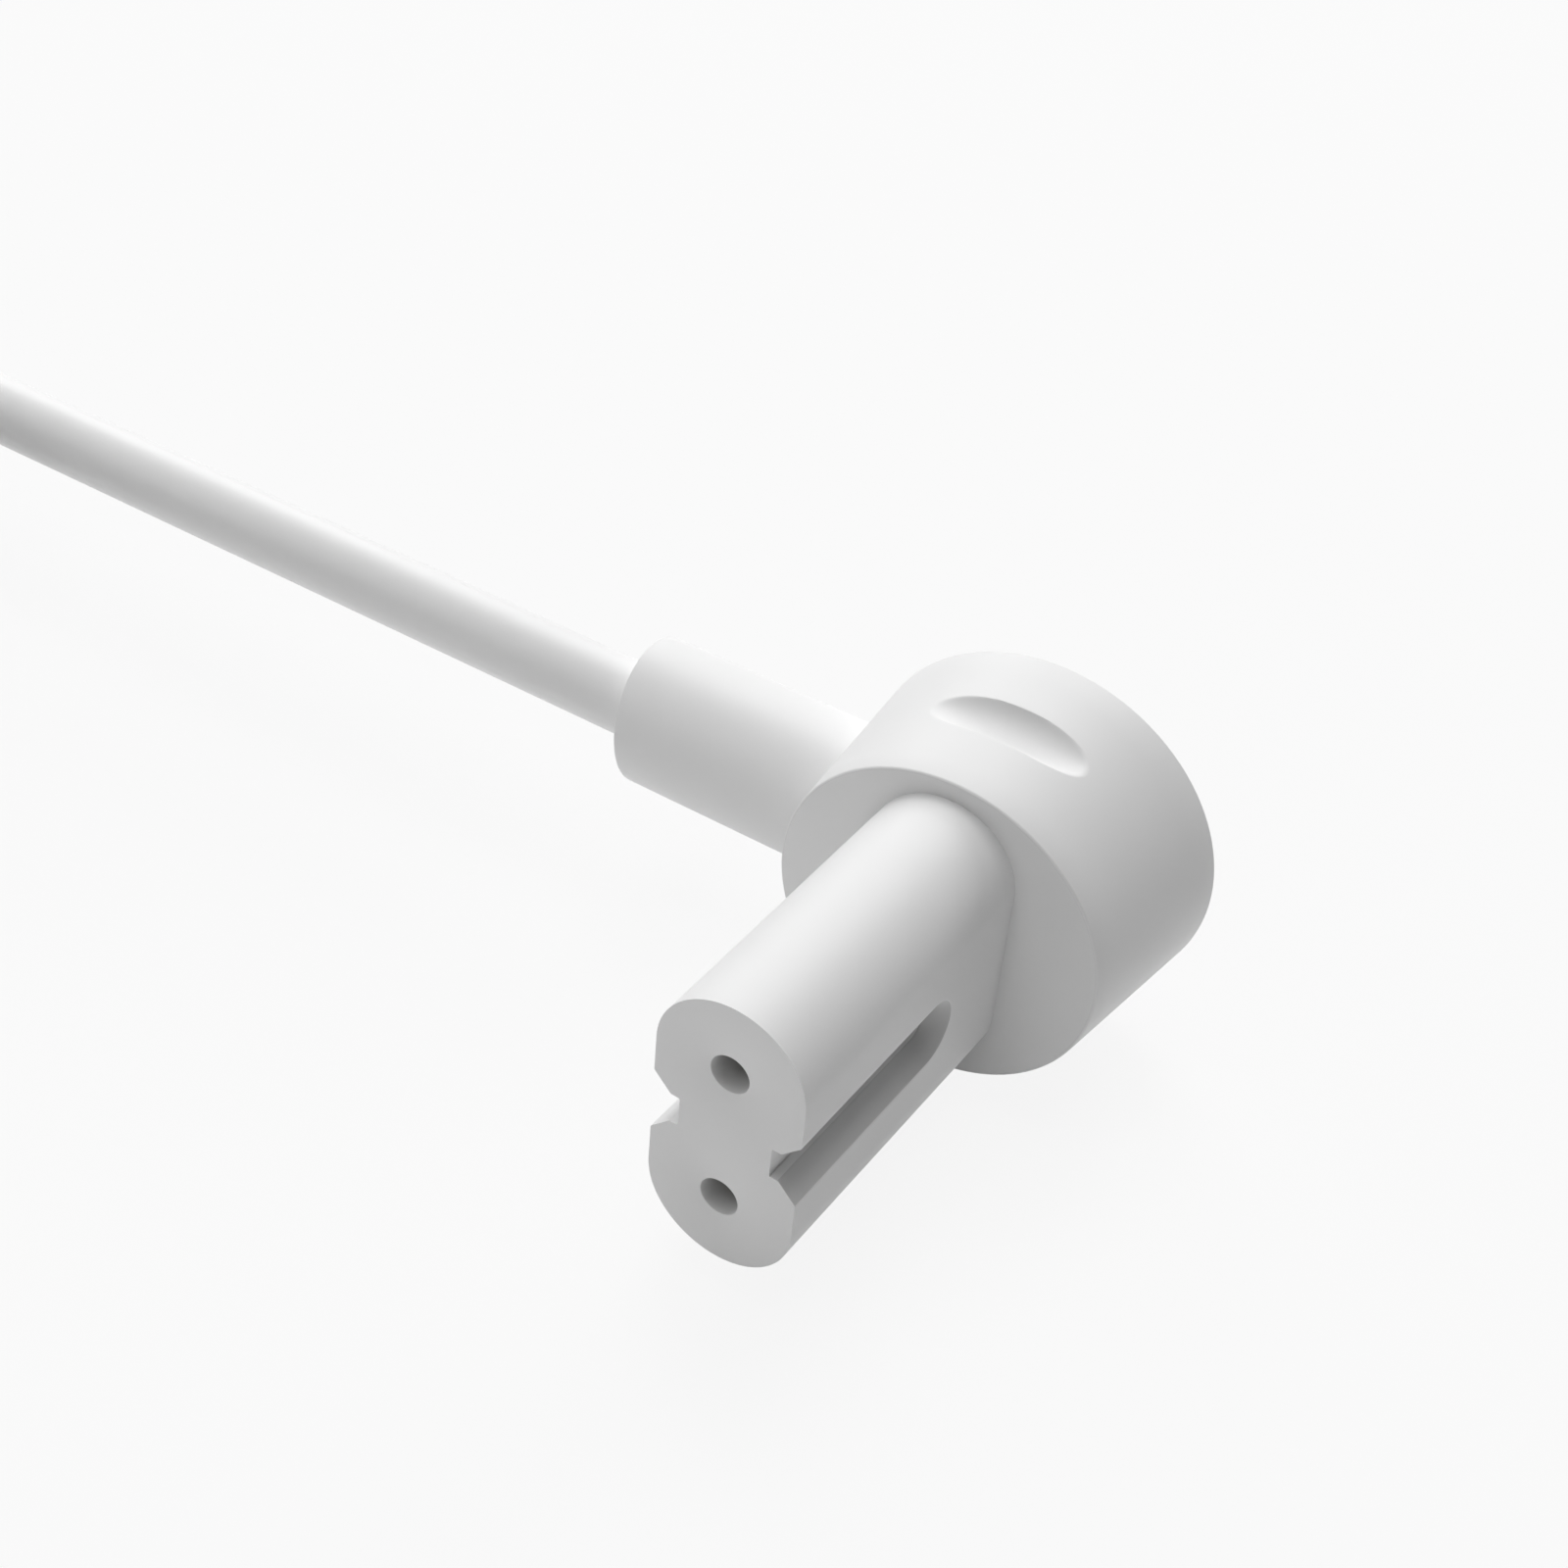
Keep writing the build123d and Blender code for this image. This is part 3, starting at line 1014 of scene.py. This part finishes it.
def metal(finish: MetalFinish) -> bpy.types.Material:
    """Make a metal from its finish.

    Args:
        finish: its colour, gloss and line.

    Returns:
        The material.
    """
    material = bpy.data.materials.new(finish.slot.value)
    material.use_nodes = True
    nodes, join = material.node_tree.nodes, material.node_tree.links.new
    shader = nodes["Principled BSDF"]
    place, stretch = nodes.new("ShaderNodeTexCoord"), nodes.new("ShaderNodeMapping")
    lines, gloss = nodes.new("ShaderNodeTexNoise"), nodes.new("ShaderNodeMapRange")
    bump, tint = nodes.new("ShaderNodeBump"), nodes.new("ShaderNodeMix")
    stretch.inputs["Scale"].default_value = (finish.line_squeeze, 1.0, 1.0)
    lines.inputs["Scale"].default_value = 1.0 / (finish.line * MM)
    gloss.inputs["To Min"].default_value = finish.roughness + finish.gloss_drift[0]
    gloss.inputs["To Max"].default_value = finish.roughness + finish.gloss_drift[1]
    bump.inputs["Distance"].default_value = finish.line_depth * MM
    tint.data_type = "RGBA"
    tint.inputs["A"].default_value = (*finish.colour, 1.0)
    tint.inputs["B"].default_value = (*(finish.dark_share * c for c in finish.colour), 1.0)
    shader.inputs["Metallic"].default_value = 1.0
    join(place.outputs["Object"], stretch.inputs["Vector"])
    join(stretch.outputs["Vector"], lines.inputs["Vector"])
    join(lines.outputs["Fac"], gloss.inputs["Value"])
    join(lines.outputs["Fac"], bump.inputs["Height"])
    join(lines.outputs["Fac"], tint.inputs["Factor"])
    join(tint.outputs["Result"], shader.inputs["Base Color"])
    join(gloss.outputs["Result"], shader.inputs["Roughness"])
    join(bump.outputs["Normal"], shader.inputs["Normal"])
    return material


@dataclass(frozen=True)
class Lamp:
    """A lamp of the studio's dome: its direction in degrees and its power in watts."""

    name: str
    azimuth: float
    elevation: float
    power: float


@dataclass(frozen=True)
class Studio:
    """The plain floor, the white surround and a dome of soft lamps, in metres."""

    white: float = 0.956
    floor_size: float = 4.0
    floor_colour: float = 0.95
    floor_roughness: float = 0.9
    shadow_share: float = 0.07
    lamp_size: float = 0.45
    lamp_distance: float = 1.0
    lamp_target: Point = (0.0, 0.0, 0.0)
    lamps: tuple[Lamp, ...] = (
        Lamp("top_lamp", 0.0, 90.0, 2.4),
        Lamp("high_back_lamp", 120.0, 62.0, 3.93),
        Lamp("high_left_lamp", 240.0, 62.0, 0.81),
        Lamp("back_lamp", 90.0, 30.0, 2.85),
        Lamp("back_left_lamp", 135.0, 30.0, 2.18),
        Lamp("left_lamp", 225.0, 30.0, 0.58),
        Lamp("front_lamp", 270.0, 30.0, 0.92),
    )

    def seen_directly(self, tree: bpy.types.ShaderNodeTree) -> bpy.types.NodeSocket:
        """Add the test for what the camera, mirrors and glass see.

        Args:
            tree: the material's or world's nodes.

        Returns:
            A socket that is 1 for such rays and 0 for the light on the object.
        """
        path = tree.nodes.new("ShaderNodeLightPath")
        seen = path.outputs["Is Camera Ray"]
        for kind in ("Is Glossy Ray", "Is Transmission Ray"):
            either = tree.nodes.new("ShaderNodeMath")
            either.operation = "MAXIMUM"
            tree.links.new(seen, either.inputs[0])
            tree.links.new(path.outputs[kind], either.inputs[1])
            seen = either.outputs["Value"]
        return seen

    def make_floor(self) -> bpy.types.Object:
        """Make the floor: white as it is seen, with a faint shadow.

        Returns:
            The floor object.
        """
        half = self.floor_size / 2
        corners = [(-half, -half, 0), (half, -half, 0), (half, half, 0), (-half, half, 0)]
        mesh = bpy.data.meshes.new("floor")
        mesh.from_pydata(corners, [], [(0, 1, 2, 3)])
        floor = link(bpy.data.objects.new("floor", mesh))
        material = bpy.data.materials.new("floor_white")
        material.use_nodes = True
        tree = material.node_tree
        shader, output = tree.nodes["Principled BSDF"], tree.nodes["Material Output"]
        glow, mix = tree.nodes.new("ShaderNodeEmission"), tree.nodes.new("ShaderNodeMixShader")
        share = tree.nodes.new("ShaderNodeMath")
        shader.inputs["Base Color"].default_value = (*(self.floor_colour,) * 3, 1.0)
        shader.inputs["Roughness"].default_value = self.floor_roughness
        shader.inputs["Specular IOR Level"].default_value = 0.0
        glow.inputs["Color"].default_value = (*(self.white,) * 3, 1.0)
        share.operation = "MULTIPLY"
        share.inputs[1].default_value = 1.0 - self.shadow_share
        tree.links.new(self.seen_directly(tree), share.inputs[0])
        tree.links.new(share.outputs["Value"], mix.inputs["Fac"])
        tree.links.new(shader.outputs["BSDF"], mix.inputs[1])
        tree.links.new(glow.outputs["Emission"], mix.inputs[2])
        tree.links.new(mix.outputs["Shader"], output.inputs["Surface"])
        mesh.materials.append(material)
        return floor

    def make_world(self) -> None:
        """Show the surround as white, without light from it on the object."""
        world = bpy.data.worlds.new("studio")
        world.use_nodes = True
        bpy.context.scene.world = world
        tree = world.node_tree
        sky, output = tree.nodes["Background"], tree.nodes["World Output"]
        seen, mix = tree.nodes.new("ShaderNodeBackground"), tree.nodes.new("ShaderNodeMixShader")
        sky.inputs["Strength"].default_value = 0.0
        seen.inputs["Color"].default_value = (*(self.white,) * 3, 1.0)
        tree.links.new(self.seen_directly(tree), mix.inputs["Fac"])
        tree.links.new(sky.outputs["Background"], mix.inputs[1])
        tree.links.new(seen.outputs["Background"], mix.inputs[2])
        tree.links.new(mix.outputs["Shader"], output.inputs["Surface"])

    def make_lamp(self, lamp: Lamp) -> bpy.types.Object:
        """Make a soft square lamp.

        Args:
            lamp: its direction and power.

        Returns:
            The lamp object.
        """
        data = bpy.data.lights.new(lamp.name, "AREA")
        data.size = self.lamp_size
        data.energy = lamp.power
        made = link(bpy.data.objects.new(lamp.name, data))
        flat, up = math.radians(lamp.azimuth), math.radians(lamp.elevation)
        way = Vector((math.cos(up) * math.cos(flat), math.cos(up) * math.sin(flat), math.sin(up)))
        place = Vector(self.lamp_target) + self.lamp_distance * way
        turn = way.to_track_quat("Z", "Y").to_matrix().to_4x4()
        made.matrix_world = Matrix.Translation(place) @ turn
        return made

    def make(self) -> None:
        """Make the floor, the surround and the lamps."""
        self.make_floor()
        self.make_world()
        for lamp in self.lamps:
            self.make_lamp(lamp)
        bpy.context.scene.view_settings.view_transform = "Standard"


NODE_SLOTS = {
    "contact_carrier": Slot.INNER,
    "contact_upper": Slot.BRASS,
    "contact_lower": Slot.BRASS,
    "core_upper": Slot.CORE,
    "core_lower": Slot.CORE,
    "conductor_upper": Slot.COPPER,
    "conductor_lower": Slot.COPPER,
    "plug_bridge": Slot.INNER,
    "plug_pin_left": Slot.NICKEL,
    "plug_pin_right": Slot.NICKEL,
    "pin_sleeve_left": Slot.PIN_SLEEVE,
    "pin_sleeve_right": Slot.PIN_SLEEVE,
}


def finish_piece(
    piece: bpy.types.Object, slot: Slot, materials: dict[Slot, bpy.types.Material], nodes: Sequence[str]
) -> None:
    """Give a piece its material, its body and the nodes that it stands for.

    Args:
        piece: the object.
        slot: its material slot.
        materials: the materials by slot.
        nodes: names of the nodes that it replaces.
    """
    piece.data.materials.clear()
    piece.data.materials.append(materials[slot])
    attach(piece, "root")
    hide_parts(*nodes)
    log.info("%s stands for %s", piece.name, ", ".join(nodes) or "no node of its own")


def main() -> None:
    """Build the scene."""
    View().make()
    group = moulded_group()
    materials = {f.slot: plastic(f, group) for f in PLASTICS}
    materials |= {f.slot: metal(f) for f in METALS}
    route, plug = CordRoute(), Plug()
    cord = route.make()
    finish_piece(cord, Slot.SHEATH, materials, ["cord", "cord_coil"])
    finish_piece(Connector().make(), Slot.MOULDING, materials, ["connector_housing"])
    moulding, rings = plug.make(), plug.make_rings(materials[Slot.MOULDING])
    finish_piece(moulding, Slot.MOULDING, materials, ["plug_body"])
    finish_piece(rings, Slot.MOULDING, materials, [])
    strap = Tie().make()
    finish_piece(strap, Slot.BAND, materials, ["cord_tie"])
    for name, slot in NODE_SLOTS.items():
        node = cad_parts[name]
        node.data.materials.clear()
        node.data.materials.append(materials[slot])
        log.info("%s keeps its solid in %s", name, slot.value)
    on_cord = [moulding, rings, strap]
    on_cord += [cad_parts[n] for n in NODE_SLOTS if n.startswith(("plug_", "pin_"))]
    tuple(route.exit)
    Studio().make()


if __name__ == "__main__":
    main()
